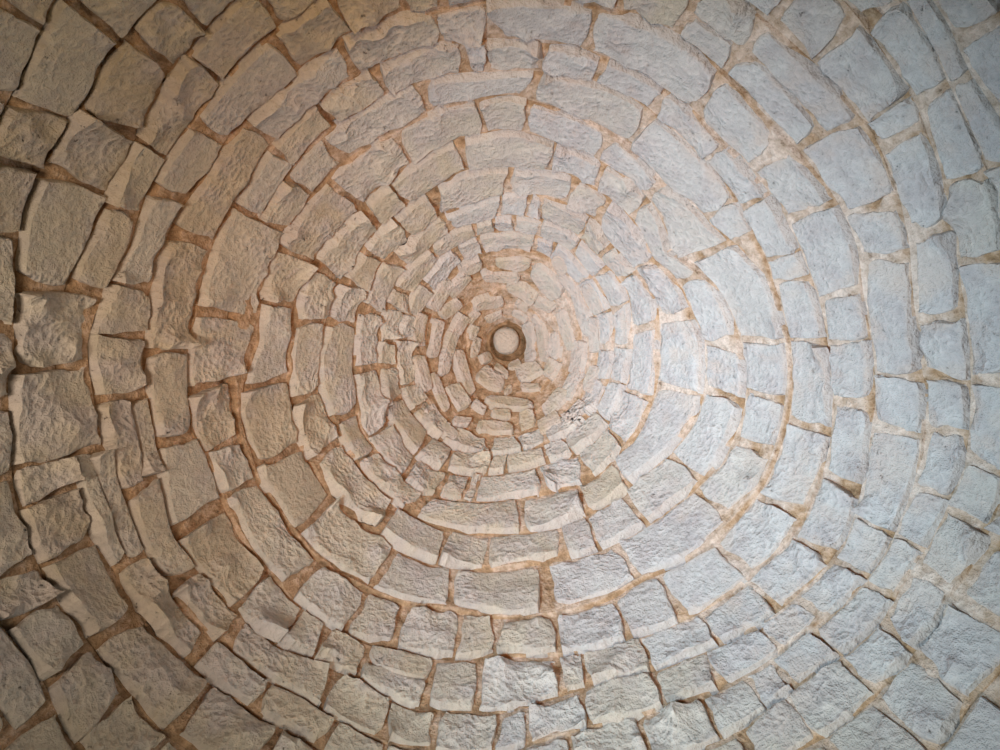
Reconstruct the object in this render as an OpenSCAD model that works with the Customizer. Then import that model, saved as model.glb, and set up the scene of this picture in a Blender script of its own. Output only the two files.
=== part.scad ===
// Corbelled stone dome of a trullo, with its slab roof and pinnacle.
// The inside is a vault of ring courses, each oversailing the one below.
// Origin: centre of the springing bed, +Z up, millimetres.

/* [Vault] */
// Inner radius at the springing
springing_r = 1900; // [1700:10:2200]
// Inner height from the springing to the keystone
vault_h = 3950; // [3500:10:4400]
// Radius of the round left at the crown, which the keystone closes
crown_r = 120; // [90:5:160]
// Inward lean of the vault at the springing, run per unit of rise
springing_lean = 0.02; // [0:0.01:0.1]
// Inward lean of the vault at the crown, run per unit of rise
crown_lean = 1; // [0.8:0.02:1.1]
// Number of ring courses
courses = 30; // [24:1:34]
// Number of courses below the crown that grow thinner one by one
thinning_courses = 10; // [5:1:15]
// Height of the top course as a share of a full one
top_course_share = 0.45; // [0.3:0.05:1]
// Part of each step inwards that is a bare ledge, the rest being sloped face
ledge_share = 0.15; // [0.1:0.05:0.6]
// Depth of a course from its lower arris to its back
course_depth = 220; // [160:5:260]
// Worn lower arris of each course
arris = 9; // [3:1:15]

/* [Crown] */
// Bearing of the keystone on the top course
keystone_bearing = 110; // [70:5:150]
// Thickness of the keystone
keystone_t = 130; // [90:5:180]
// Depth of the shallow dish cut in the keystone's underside
keystone_dish = 18; // [5:1:40]

/* [Roof] */
// Thickness of the dome at the springing, from inner face to slab edge
foot_t = 810; // [760:10:1000]
// Cover of rubble and slabs over the keystone
crown_cover = 600; // [520:10:800]
// Radius of the slab roof under the pinnacle seat
roof_top_r = 310; // [260:10:350]
// Inward lean of the roof at its foot, run per unit of rise
roof_foot_lean = 0.22; // [0.14:0.01:0.3]
// Inward lean of the roof at its top, run per unit of rise
roof_top_lean = 0.86; // [0.7:0.02:1]
// Bands that the slab courses are grouped in
bands = 8; // [6:1:12]
// Slab courses in one band
slabs_per_band = 8; // [5:1:10]
// Length of a slab from its edge to its tail
slab_depth = 200; // [150:5:240]
// Fall of a slab's top face towards its edge
slab_fall = 8; // [2:1:14]
// Least thickness of rubble between the vault and the slabs
rubble_t = 40; // [20:5:60]
// Thickness of the eaves slabs
eaves_t = 85; // [60:5:120]
// How far the eaves slabs stand out past the roof face
eaves_out = 75; // [30:5:120]

/* [Pinnacle] */
// How far the round slab that closes the roof stands out past it
seat_out = 60; // [30:5:90]
// Thickness of that slab at its edge
seat_t = 70; // [50:5:100]
// Rise of that slab's sloped top
seat_rise = 35; // [15:5:60]
// Height of the tapered block
block_h = 300; // [200:10:400]
// Radius of the tapered block at its foot
block_foot_r = 215; // [170:5:250]
// Radius of the tapered block at its top
block_top_r = 120; // [95:5:150]
// Radius of the disc
disc_r = 215; // [180:5:260]
// Thickness of the disc, whose edge is round
disc_t = 66; // [50:2:90]
// Radius of the ball
ball_r = 132; // [100:2:160]
// Radius of the flat that the ball stands on
ball_flat_r = 62; // [45:1:80]

/* [Hidden] */
$fn = 96;
stone = "#cfc6b8";
rubble = "#a89680";
slab_grey = "#9c978b";
limewash = "#e6e2d8";
two_digits = function (n) str(n < 10 ? "0" : "", n);
course_names = [for (k = [1 : courses]) str("course_", two_digits(k))];
band_names = [for (b = [1 : bands]) str("roof_band_", two_digits(b))];

// Radius at the share t of the height h, between two ends with their own inward leans
function leaning(t, h, foot_r, top_r, foot_lean, top_lean) =
    foot_r * (2 * pow(t, 3) - 3 * pow(t, 2) + 1)
    - foot_lean * h * (pow(t, 3) - 2 * pow(t, 2) + t)
    + top_r * (3 * pow(t, 2) - 2 * pow(t, 3))
    - top_lean * h * (pow(t, 3) - pow(t, 2));
function vault_r(z) = leaning(z / vault_h, vault_h, springing_r, crown_r, springing_lean, crown_lean);

// Bed levels of the vault: full courses below, then thinning ones up to the crown
full_courses = courses - thinning_courses;
function share(k) =
    k < full_courses ? 1 : 1 + (top_course_share - 1) * (k + 1 - full_courses) / thinning_courses;
function shares_below(k) = k == 0 ? 0 : share(k - 1) + shares_below(k - 1);
function bed(k) = vault_h * shares_below(k) / shares_below(courses);
function step_in(k) = vault_r(bed(k)) - vault_r(bed(k + 1));
function back_r(k) = vault_r(bed(k)) + course_depth;

// Slab beds of the roof, above the eaves slabs
keystone_top = vault_h + keystone_t;
keystone_r = crown_r + keystone_bearing;
roof_h = keystone_top + crown_cover;
roof_r = springing_r + foot_t;
slab_courses = bands * slabs_per_band;
slab_t = (roof_h - eaves_t) / slab_courses;
function roof_r_at(z) = leaning(z / roof_h, roof_h, roof_r, roof_top_r, roof_foot_lean, roof_top_lean);
function slab_bed(s) = eaves_t + s * slab_t;
function slab_edge(s) = roof_r_at(slab_bed(s));
function course_at(z) = len([for (k = [0 : courses - 1]) if (bed(k) <= z) k]) - 1;
function slab_tail(s) = max(slab_edge(s + 1) - slab_depth, back_r(course_at(slab_bed(s))) + rubble_t);
function crown_tail(s) = slab_edge(s + 1) - slab_depth;
function tail(s) = slab_bed(s) < vault_h ? slab_tail(s) : max(crown_tail(s), 0);
eaves_r = roof_r + eaves_out;
eaves_tail = tail(0);

seat_r = roof_top_r + seat_out;
block_z = roof_h + seat_t + seat_rise;
disc_z = block_z + block_h;
ball_z = disc_z + disc_t;

module turned() {
    rotate_extrude() children();
}

// One ring course: sloped face, worn lower arris, level beds and a plumb back
module course(k) {
    face_foot = vault_r(bed(k));
    face_head = vault_r(bed(k + 1)) + ledge_share * step_in(k);
    color(stone) turned() polygon([
        [face_foot + arris, bed(k)],
        [back_r(k), bed(k)],
        [back_r(k), bed(k + 1)],
        [face_head, bed(k + 1)],
        [face_foot, bed(k) + arris],
    ]);
}

// The stone that closes the crown, with its underside cut to a shallow dish
module keystone() {
    color(stone) turned() polygon([
        [0, vault_h + keystone_dish],
        [crown_r - keystone_dish, vault_h + keystone_dish],
        [crown_r, vault_h],
        [keystone_r, vault_h],
        [keystone_r - keystone_dish, keystone_top],
        [0, keystone_top],
    ]);
}

// Rubble between the stepped backs of the vault and the tails of the roof slabs
module rubble_core() {
    vault_side = [for (k = [0 : courses - 1], z = [bed(k), bed(k + 1)]) [back_r(k), z]];
    over_keystone = [
        [keystone_r, vault_h],
        [keystone_r - keystone_dish, keystone_top],
        [0, keystone_top],
        [0, roof_h],
    ];
    roof_side = [for (s = [slab_courses - 1 : -1 : 0], z = [slab_bed(s + 1), slab_bed(s)]) [tail(s), z]];
    color(rubble) turned() polygon(concat(vault_side, over_keystone, roof_side, [[eaves_tail, 0]]));
}

// The lowest, thicker row of slabs, which throws the rain clear of the wall
module eaves_course() {
    color(slab_grey) turned() polygon([
        [eaves_tail, 0],
        [eaves_r - slab_fall, 0],
        [eaves_r, slab_fall],
        [eaves_r, eaves_t - slab_fall],
        [slab_edge(0), eaves_t],
        [eaves_tail, eaves_t],
    ]);
}

// One band of thin slabs, each set back from the one below and falling to its edge
module roof_band(b) {
    first = b * slabs_per_band;
    last = first + slabs_per_band - 1;
    edges = [for (s = [first : last]) each [
        [slab_edge(s), slab_bed(s)],
        [slab_edge(s), slab_bed(s + 1) - slab_fall],
        [slab_edge(s + 1), slab_bed(s + 1)],
    ]];
    tails = [for (s = [last : -1 : first], z = [slab_bed(s + 1), slab_bed(s)]) [tail(s), z]];
    color(slab_grey) turned() polygon(concat(edges, tails));
}

// Round slab with a sloped top that closes the roof and carries the pinnacle
module pinnacle_seat() {
    color(limewash) translate([0, 0, roof_h]) turned() polygon([
        [0, 0],
        [seat_r, 0],
        [seat_r, seat_t],
        [block_foot_r, seat_t + seat_rise],
        [0, seat_t + seat_rise],
    ]);
}

module pinnacle_block() {
    color(limewash) translate([0, 0, block_z]) cylinder(h = block_h, r1 = block_foot_r, r2 = block_top_r);
}

module pinnacle_disc() {
    edge = disc_t / 2;
    color(limewash) translate([0, 0, disc_z]) turned() intersection() {
        union() {
            square([disc_r - edge, disc_t]);
            translate([disc_r - edge, edge]) circle(edge);
        }
        square([disc_r, disc_t]);
    }
}

// Ball cut to a small flat where it stands
module pinnacle_ball() {
    centre_z = sqrt(pow(ball_r, 2) - pow(ball_flat_r, 2));
    color(limewash) translate([0, 0, ball_z]) turned() intersection() {
        translate([0, centre_z]) circle(ball_r);
        square([ball_r, centre_z + ball_r]);
    }
}

for (k = [0 : courses - 1]) course(k);
keystone();
rubble_core();
eaves_course();
for (b = [0 : bands - 1]) roof_band(b);
pinnacle_seat();
pinnacle_block();
pinnacle_disc();
pinnacle_ball();
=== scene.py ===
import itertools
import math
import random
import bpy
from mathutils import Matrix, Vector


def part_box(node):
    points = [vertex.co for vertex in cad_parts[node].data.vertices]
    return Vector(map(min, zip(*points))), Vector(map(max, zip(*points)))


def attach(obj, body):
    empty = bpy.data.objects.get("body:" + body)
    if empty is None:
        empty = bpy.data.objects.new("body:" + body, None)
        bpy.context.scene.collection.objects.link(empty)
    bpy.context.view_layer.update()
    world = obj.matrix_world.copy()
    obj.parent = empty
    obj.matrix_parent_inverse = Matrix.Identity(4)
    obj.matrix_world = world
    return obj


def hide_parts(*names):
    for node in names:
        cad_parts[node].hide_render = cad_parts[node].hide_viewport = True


bl_info = {
    "name": "Trullo dome",
    "version": (1, 0, 0),
    "blender": (4, 5, 0),
    "location": "View3D > Sidebar > Trullo",
    "description": "Lays the stones, mortar, roof slabs and pinnacle of a corbelled dome",
    "category": "Object",
}

import bpy
import numpy as np
from mathutils import Vector

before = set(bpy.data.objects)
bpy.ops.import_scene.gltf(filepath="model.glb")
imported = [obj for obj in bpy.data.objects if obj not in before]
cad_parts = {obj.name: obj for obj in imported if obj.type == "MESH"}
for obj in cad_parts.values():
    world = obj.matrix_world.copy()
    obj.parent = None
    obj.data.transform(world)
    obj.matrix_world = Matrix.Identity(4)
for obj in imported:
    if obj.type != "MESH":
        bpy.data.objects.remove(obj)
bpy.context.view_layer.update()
TURN = 2 * math.pi
PHOTO_WIDTH = 1000
SENSOR = 36
# Primes that mix the cell numbers of the noise
MIXERS = (73856093, 19349663, 83492791)
SEED_MIXER = 40503
LAST_MIXER = 1274126177


# Sizes and finishes


class VaultSettings(bpy.types.PropertyGroup):
    stone_length: bpy.props.FloatProperty(
        name="Stone length",
        description="Usual length of a vault stone",
        default=0.29, unit="LENGTH",
    )
    side_gap: bpy.props.FloatProperty(
        name="Side gap",
        description="Half the joint between two stones of a course",
        default=0.0045, unit="LENGTH",
    )
    bed_gap: bpy.props.FloatProperty(
        name="Bed gap",
        description="Mortar between a stone's head and the next course",
        default=0.007, unit="LENGTH",
    )
    bed_wander: bpy.props.FloatProperty(
        name="Bed wander",
        description="Rise and fall of a bed, as a share of the course",
        default=0.12,
    )
    relief: bpy.props.FloatProperty(
        name="Face relief",
        description="Height of the hewn lumps on a stone",
        default=0.007, unit="LENGTH",
    )
    mortar_depth: bpy.props.FloatProperty(
        name="Mortar depth",
        description="How far the mortar lies behind the faces",
        default=0.006, unit="LENGTH",
    )
    stone_colour: bpy.props.FloatVectorProperty(
        name="Stone colour",
        description="Clean limestone",
        size=3, subtype="COLOR", default=(0.73, 0.70, 0.66),
    )
    mortar_colour: bpy.props.FloatVectorProperty(
        name="Mortar colour",
        description="Sandy lime mortar",
        size=3, subtype="COLOR", default=(0.74, 0.61, 0.52),
    )
    seed: bpy.props.IntProperty(name="Seed", description="Picks one layout of stones", default=7)


class RoofSettings(bpy.types.PropertyGroup):
    slab_length: bpy.props.FloatProperty(
        name="Slab length", description="Usual length of a roof slab", default=0.30, unit="LENGTH"
    )
    slab_gap: bpy.props.FloatProperty(
        name="Slab gap", description="Open joint between two slabs", default=0.006, unit="LENGTH"
    )
    unevenness: bpy.props.FloatProperty(
        name="Unevenness", description="How far slab edges stray", default=0.012, unit="LENGTH"
    )
    slab_colour: bpy.props.FloatVectorProperty(
        name="Slab colour",
        description="Weathered limestone",
        size=3, subtype="COLOR", default=(0.36, 0.34, 0.31),
    )
    limewash_colour: bpy.props.FloatVectorProperty(
        name="Limewash colour", description="Coat of the pinnacle", size=3, subtype="COLOR",
        default=(0.80, 0.78, 0.73),
    )
    seed: bpy.props.IntProperty(name="Seed", description="Picks one layout of slabs", default=21)


class StageSettings(bpy.types.PropertyGroup):
    camera_height: bpy.props.FloatProperty(
        name="Camera height", description="Lens above the springing", default=0.06, unit="LENGTH"
    )
    camera_side: bpy.props.FloatProperty(
        name="Camera side", description="Lens off the dome's axis", default=-0.19, unit="LENGTH"
    )
    lens: bpy.props.FloatProperty(
        name="Lens", description="Focal length on a 36 mm sensor", default=21.6, unit="CAMERA"
    )
    floor_colour: bpy.props.FloatVectorProperty(
        name="Floor colour",
        description="Plain floor",
        size=3, subtype="COLOR", default=(0.72, 0.70, 0.67),
    )
    day_power: bpy.props.FloatProperty(
        name="Day power",
        description="Cool daylight on the right flank and the crown",
        default=31.0, unit="POWER",
    )
    day_colour: bpy.props.FloatVectorProperty(
        name="Day colour",
        description="Tint of the daylight",
        size=3, subtype="COLOR", default=(0.59, 0.83, 1.0),
    )
    rake_power: bpy.props.FloatProperty(
        name="Rake power",
        description="Lamp that rakes up the left wall from its foot",
        default=7.0, unit="POWER",
    )
    rake_colour: bpy.props.FloatVectorProperty(
        name="Rake colour",
        description="Tint of the rake lamp",
        size=3, subtype="COLOR", default=(1.0, 0.87, 0.72),
    )
    side_power: bpy.props.FloatProperty(
        name="Side power",
        description="Lamp that rakes up the wall at the picture's top",
        default=5.4, unit="POWER",
    )
    side_colour: bpy.props.FloatVectorProperty(
        name="Side colour",
        description="Tint of the side lamp",
        size=3, subtype="COLOR", default=(1.0, 0.72, 0.38),
    )
    back_power: bpy.props.FloatProperty(
        name="Back power",
        description="Lamp that rakes up the wall at the picture's foot",
        default=7.5, unit="POWER",
    )
    back_colour: bpy.props.FloatVectorProperty(
        name="Back colour",
        description="Tint of the back lamp",
        size=3, subtype="COLOR", default=(1.0, 0.98, 0.86),
    )
    crown_power: bpy.props.FloatProperty(
        name="Crown power", description="Small warm lamp under the crown", default=6.4, unit="POWER"
    )
    crown_colour: bpy.props.FloatVectorProperty(
        name="Crown colour",
        description="Tint of the crown lamp",
        size=3, subtype="COLOR", default=(1.0, 0.30, 0.06),
    )


# Small tools


def pick_none():
    bpy.ops.object.select_all(action="DESELECT")


def pick(piece):
    pick_none()
    piece.select_set(True)
    bpy.context.view_layer.objects.active = piece


def lattice_noise(points, cell, seed):
    """Smooth random heights from -1 to 1 over space, one for each point."""
    spot = points / cell
    base = np.floor(spot).astype(np.int64)
    part = spot - base
    part = part * part * (3 - 2 * part)
    total = np.zeros(len(points))
    for corner in itertools.product((0, 1), repeat=3):
        at = base + corner
        mixed = (at[:, 0] * MIXERS[0]) ^ (at[:, 1] * MIXERS[1]) ^ (at[:, 2] * MIXERS[2]) ^ (seed * SEED_MIXER)
        mixed = ((mixed ^ (mixed >> 13)) * LAST_MIXER) & 0xFFFFFFFF
        mixed = (mixed ^ (mixed >> 16)) & 0xFFFFFF
        weight = np.prod(np.where(corner, part, 1 - part), axis=1)
        total += weight * (mixed / 0x7FFFFF - 1)
    return total


def waves(seed, orders, amplitude):
    """A smooth closed curve round the dome, as a function of the bearing."""
    rng = random.Random(seed)
    parts = [(n, rng.uniform(0.4, 1) / math.sqrt(n), rng.uniform(0, TURN)) for n in orders]
    scale = amplitude / math.sqrt(sum(w * w for _, w, _ in parts) / 2)
    return lambda a: scale * sum(w * np.sin(n * a + p) for n, w, p in parts)


def rings_of(node):
    """Radii and heights of a turned CAD node's vertices, in metres."""
    spots = np.array([v.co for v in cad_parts[node].data.vertices])
    return np.hypot(spots[:, 0], spots[:, 1]), spots[:, 2]


def block_master(columns, rows, depths):
    """A block two units wide: a gridded face at height 0, drawn back in rings and closed behind."""
    pick_none()
    bpy.ops.mesh.primitive_grid_add(x_subdivisions=columns, y_subdivisions=rows, size=2)
    block = bpy.context.object
    bpy.ops.object.mode_set(mode="EDIT")
    bpy.ops.mesh.select_all(action="SELECT")
    bpy.ops.mesh.region_to_loop()
    done = 0
    for depth in depths:
        bpy.ops.mesh.extrude_edges_move(TRANSFORM_OT_translate={"value": (0, 0, done - depth)})
        done = depth
    bpy.ops.mesh.edge_face_add()
    bpy.ops.mesh.select_all(action="SELECT")
    bpy.ops.mesh.normals_make_consistent(inside=False)
    bpy.ops.object.mode_set(mode="OBJECT")
    corners = np.array([v.co for v in block.data.vertices])
    faces = [tuple(p.vertices) for p in block.data.polygons]
    mesh = block.data
    bpy.data.objects.remove(block)
    bpy.data.meshes.remove(mesh)
    return corners, faces


def joined(name, blocks, materials, sharp_angle=0.7):
    """One mesh piece from many shaped blocks, each given as corners, faces and point values."""
    corners = np.concatenate([b["corners"] for b in blocks])
    faces = []
    start = 0
    for b in blocks:
        faces += [tuple(i + start for i in f) for f in b["faces"]]
        start += len(b["corners"])
    mesh = bpy.data.meshes.new(name)
    mesh.from_pydata(corners.tolist(), [], faces)
    for value in sorted(set(blocks[0]) - {"corners", "faces"}):
        points = np.concatenate([b[value] for b in blocks]).astype(np.float32)
        kind, key = ("FLOAT_VECTOR", "vector") if points.ndim == 2 else ("FLOAT", "value")
        layer = mesh.attributes.new(value, kind, "POINT")
        layer.data.foreach_set(key, points.reshape(-1))
    piece = bpy.data.objects.new(name, mesh)
    bpy.context.scene.collection.objects.link(piece)
    for material in materials:
        mesh.materials.append(material)
    pick(piece)
    bpy.ops.object.shade_smooth_by_angle(angle=sharp_angle)
    return piece


def settle(piece, slot, *nodes):
    """The piece rides on the dome and stands for its CAD nodes."""
    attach(piece, "root")
    if nodes:
        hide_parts(*nodes)
    return piece


# Materials


class Shader:
    """A material under construction, with one call for each node."""

    def __init__(self, tree):
        self.tree = tree

    def add(self, kind, values=(), out=0, **settings):
        node = self.tree.nodes.new(kind)
        for key, value in settings.items():
            setattr(node, key, value)
        for key, value in dict(values).items():
            if isinstance(value, bpy.types.NodeSocket):
                self.tree.links.new(value, node.inputs[key])
            else:
                node.inputs[key].default_value = value
        return node.outputs[out] if len(node.outputs) else None

    def math(self, operation, a, b=0.0, clamp=False):
        return self.add("ShaderNodeMath", {0: a, 1: b}, operation=operation, use_clamp=clamp)

    def mix(self, factor, a, b, blend="MIX"):
        return self.add(
            "ShaderNodeMix", {0: factor, 6: a, 7: b}, out=2, data_type="RGBA", blend_type=blend
        )

    def span(self, value, low, high, to_low=0.0, to_high=1.0):
        values = {"Value": value, "From Min": low, "From Max": high, "To Min": to_low, "To Max": to_high}
        return self.add("ShaderNodeMapRange", values, clamp=True)

    def noise(self, where, scale, detail=4.0, rough=0.6, out=0, warp=0.0):
        values = {"Vector": where, "Scale": scale, "Detail": detail, "Roughness": rough, "Distortion": warp}
        return self.add("ShaderNodeTexNoise", values, out=out)


def open_group(name, inputs, outputs):
    tree = bpy.data.node_groups.new(name, "ShaderNodeTree")
    for label, kind, default in inputs:
        socket = tree.interface.new_socket(name=label, in_out="INPUT", socket_type=kind)
        socket.default_value = default
    for label, kind in outputs:
        tree.interface.new_socket(name=label, in_out="OUTPUT", socket_type=kind)
    made = Shader(tree)
    return made, tree.nodes.new("NodeGroupInput").outputs, tree.nodes.new("NodeGroupOutput").inputs


def hewn_group(name, dimensions):
    """Height of a hewn face: small flake scars, crumbly grain and pits, with a mask for the shade painted in
    the pits.
    """
    made, given, result = open_group(
        name,
        [("Vector", "NodeSocketVector", (0, 0, 0)), ("Grain", "NodeSocketVector", (0, 0, 0)),
         ("Broken", "NodeSocketFloat", 0.5)],
        [("Height", "NodeSocketFloat"), ("Pit mask", "NodeSocketFloat")],
    )
    broken = given["Broken"]
    grain = made.noise(given["Vector"], 36.0, 4.0, 0.72)
    marks = {"Vector": given["Grain"], "Scale": 34.0}
    scars = made.add("ShaderNodeTexVoronoi", marks, feature="F1", voronoi_dimensions=dimensions)
    low = made.math("ADD", made.math("MULTIPLY", made.math("MAXIMUM", broken, 1.0), 0.05), 0.285)
    pits = made.math("MULTIPLY", made.span(made.math("SUBTRACT", grain, low), 0.0, -0.055), broken)
    height = made.math("MULTIPLY", scars, made.math("ADD", made.math("MULTIPLY", broken, 0.5), 0.06))
    height = made.math("ADD", height, 0.12)
    height = made.math("ADD", height, made.math("MULTIPLY", grain, 1.1))
    height = made.math("SUBTRACT", height, made.math("MULTIPLY", pits, 0.5))
    made.tree.links.new(height, result["Height"])
    made.tree.links.new(pits, result["Pit mask"])
    return made.tree


def patches_group():
    """Three separate soft patterns from one noise, for stains, dust and fading."""
    made, given, result = open_group(
        "Patches",
        [("Vector", "NodeSocketVector", (0, 0, 0)), ("Scale", "NodeSocketFloat", 5.0)],
        [("First", "NodeSocketFloat"), ("Second", "NodeSocketFloat"), ("Third", "NodeSocketFloat")],
    )
    cloud = made.noise(given["Vector"], given["Scale"], 4.0, 0.62, out=1, warp=0.3)
    split = made.tree.nodes.new("ShaderNodeSeparateColor")
    made.tree.links.new(cloud, split.inputs[0])
    for source, label in zip(split.outputs, ("First", "Second", "Third")):
        made.tree.links.new(made.span(source, 0.40, 0.60), result[label])
    return made.tree


def use_group(made, tree, values):
    node = made.tree.nodes.new("ShaderNodeGroup")
    node.node_tree = tree
    for key, value in values.items():
        if isinstance(value, bpy.types.NodeSocket):
            made.tree.links.new(value, node.inputs[key])
        else:
            node.inputs[key].default_value = value
    return node.outputs


def open_material(name):
    material = bpy.data.materials.new(name)
    material.use_nodes = True
    material.node_tree.nodes.clear()
    return material, Shader(material.node_tree)


def close_material(made, colour, roughness, height=None, bump=0.5, depth=0.01, gloss=0.25):
    values = {"Base Color": colour, "Roughness": roughness, "Specular IOR Level": gloss}
    if height is not None:
        values["Normal"] = made.add(
            "ShaderNodeBump", {"Height": height, "Strength": bump, "Distance": depth}
        )
    surface = made.add("ShaderNodeBsdfPrincipled", values)
    made.add("ShaderNodeOutputMaterial", {"Surface": surface})


def rgba(colour, factor=1.0):
    return tuple(min(1.0, c * factor) for c in colour) + (1.0,)


def place_of(made):
    return made.add("ShaderNodeTexCoord", out=3)


def value_of(made, name, out=2):
    return made.add("ShaderNodeAttribute", out=out, attribute_type="GEOMETRY", attribute_name=name)


def limestone_material(groups, settings):
    """Vault stone: cream, rosy or grey, sandy at its edges where mortar is smeared; painted shade makes it
    warmer and darker on the left flank, in the hollows of its relief and in its pits.
    """
    material, made = open_material("vault_limestone")
    where = place_of(made)
    tone = value_of(made, "tone")
    rough = value_of(made, "rough")
    stain = value_of(made, "stain")
    smear = value_of(made, "smear")
    clean = settings.stone_colour
    shades = made.tree.nodes.new("ShaderNodeValToRGB")
    made.tree.links.new(tone, shades.inputs[0])
    # Tone ramp from pale and cool to warm and dark: as tone rises on the left flank, the ramp paints that
    # flank's warm dim shade and the right flank's cool light
    stops = (
        (0.0, 1.04, 1.05, 1.08),
        (0.25, 1.03, 1.02, 1.03),
        (0.6, 0.98, 0.88, 0.73),
        (1.0, 0.87, 0.73, 0.55),
    )
    ramp = shades.color_ramp.elements
    for place, *_ in stops[1:-1]:
        ramp.new(place)
    for stop, (place, *factors) in zip(ramp, stops):
        stop.position = place
        stop.color = tuple(c * f for c, f in zip(clean, factors)) + (1,)
    inputs = {"Vector": where, "Grain": value_of(made, "grain", 1), "Broken": rough}
    hewn = use_group(made, groups["hewn"], inputs)
    mauve = (clean[0] * 0.76, clean[1] * 0.70, clean[2] * 0.74)
    colour = made.mix(made.math("MULTIPLY", stain, 0.55), shades.outputs[0], rgba(mauve))
    # The colour follows the relief: painted shade in its hollows, painted highlight on its crests
    fine = made.span(hewn["Height"], 0.60, 1.25, 0.80, 1.12)
    colour = made.add("ShaderNodeVectorMath", {0: colour, 3: fine}, operation="SCALE")
    colour = made.mix(made.math("MULTIPLY", smear, 0.65), colour, rgba(settings.mortar_colour))
    # Painted shade: the pits are painted nearly black
    colour = made.mix(made.math("MULTIPLY", hewn["Pit mask"], 0.85), colour, (0.07, 0.06, 0.05, 1))
    close_material(made, colour, 0.9, hewn["Height"], 1.0, 0.017, 0.0)
    return material


def mortar_material(groups, settings):
    """Sandy mortar: pale where it fills the joints, painted darker and warmer as shade where it lies far
    behind the faces, with its holes painted dark as shade.
    """
    material, made = open_material("vault_mortar")
    where = place_of(made)
    deep = value_of(made, "deep")
    sandy = settings.mortar_colour
    # Painted shade: the mortar turns to these darker, warmer colours where it lies far behind the faces, the
    # darkest standing for the darkest shadow
    shaded_mortar = (sandy[0] * 0.70, sandy[1] * 0.54, sandy[2] * 0.37)
    deep_shadow_mortar = (sandy[0] * 0.30, sandy[1] * 0.21, sandy[2] * 0.12)
    crumbs = made.noise(where, 26.0, 4.0, 0.72)
    shade = made.math("ADD", deep, made.span(crumbs, 0.35, 0.65, 0.30, -0.20))
    colour = made.mix(made.span(shade, 0.1, 1.1), rgba(sandy), rgba(shaded_mortar))
    colour = made.mix(made.span(shade, 1.0, 2.0), colour, rgba(deep_shadow_mortar))
    # The colour follows the crumbs: painted shade in their hollows, painted highlight on their crests
    fine = made.span(crumbs, 0.32, 0.66, 0.78, 1.22)
    colour = made.add("ShaderNodeVectorMath", {0: colour, 3: fine}, operation="SCALE")
    # Painted shade: the lowest hollows of the crumbs are painted dark as holes
    holes = made.span(crumbs, 0.36, 0.29)
    colour = made.mix(made.math("MULTIPLY", holes, 0.7), colour, rgba(shaded_mortar, 0.3))
    close_material(made, colour, 0.94, crumbs, 1.0, 0.020, 0.0)
    return material


def slab_material(groups, settings):
    """Roof slab: weathered grey limestone with dark lichen, ochre spots and pale broken edges; its pits and
    the hollows of its relief are painted dark as shade.
    """
    material, made = open_material("roof_slab")
    where = place_of(made)
    tone = value_of(made, "tone")
    rim = value_of(made, "rim")
    base = settings.slab_colour
    warm = (base[0] * 1.16, base[1] * 1.06, base[2] * 0.92)
    dark = (base[0] * 0.50, base[1] * 0.50, base[2] * 0.52)
    hewn = use_group(made, groups["split"], {"Vector": where, "Grain": where, "Broken": 0.7})
    patches = use_group(made, groups["patches"], {"Vector": where, "Scale": 7.0})
    spots = made.span(made.noise(where, 19.0, 3.0, 0.6), 0.62, 0.68)
    colour = made.mix(tone, rgba(base, 0.85), rgba(warm, 1.2))
    colour = made.mix(made.math("MULTIPLY", patches["First"], 0.6), colour, rgba(dark))
    colour = made.mix(made.math("MULTIPLY", spots, 0.5), colour, (0.46, 0.30, 0.11, 1))
    # The colour follows the relief: painted shade in its hollows, painted highlight on its crests
    fine = made.span(hewn["Height"], 0.3, 0.75, 0.8, 1.16)
    colour = made.add("ShaderNodeVectorMath", {0: colour, 3: fine}, operation="SCALE")
    colour = made.mix(made.math("MULTIPLY", rim, 0.35), colour, rgba(warm, 1.45))
    # Painted shade: the pits are painted nearly black
    colour = made.mix(made.math("MULTIPLY", hewn["Pit mask"], 0.7), colour, (0.05, 0.05, 0.045, 1))
    close_material(made, colour, 0.92, hewn["Height"], 0.7, 0.016)
    return material


def limewash_material(groups, settings):
    """Brushed limewash: chalky white, thin in places, with grey runs of rain."""
    material, made = open_material("limewash")
    where = place_of(made)
    coat = settings.limewash_colour
    tall = made.add("ShaderNodeMapping", {"Vector": where, "Scale": (1, 1, 0.16)})
    runs = use_group(made, groups["patches"], {"Vector": tall, "Scale": 11.0})
    worn = made.span(made.noise(where, 13.0, 5.0, 0.6), 0.58, 0.66)
    colour = made.mix(made.math("MULTIPLY", runs["First"], 0.35), rgba(coat), rgba(coat, 0.66))
    colour = made.mix(made.math("MULTIPLY", worn, 0.45), colour, rgba(settings.slab_colour, 1.3))
    brush = made.noise(where, 60.0, 4.0, 0.6)
    height = made.math("SUBTRACT", brush, made.math("MULTIPLY", worn, 0.25))
    close_material(made, colour, 0.86, height, 0.4, 0.006)
    return material


def rubble_material(groups, settings):
    """Packing of broken stone and red earth."""
    material, made = open_material("rubble")
    where = place_of(made)
    cells = made.add("ShaderNodeTexVoronoi", {"Vector": where, "Scale": 9.0}, feature="F1")
    gaps = made.add("ShaderNodeTexVoronoi", {"Vector": where, "Scale": 9.0}, feature="DISTANCE_TO_EDGE")
    earth = made.span(gaps, 0.10, 0.03)
    colour = made.mix(cells, rgba(settings.stone_colour, 0.55), rgba(settings.stone_colour, 0.85))
    colour = made.mix(earth, colour, (0.20, 0.10, 0.05, 1))
    height = made.math("ADD", made.span(gaps, 0.0, 0.25), made.noise(where, 50.0, 4.0, 0.7))
    close_material(made, colour, 0.95, height, 0.8, 0.03)
    return material


MATERIALS = {}


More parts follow.
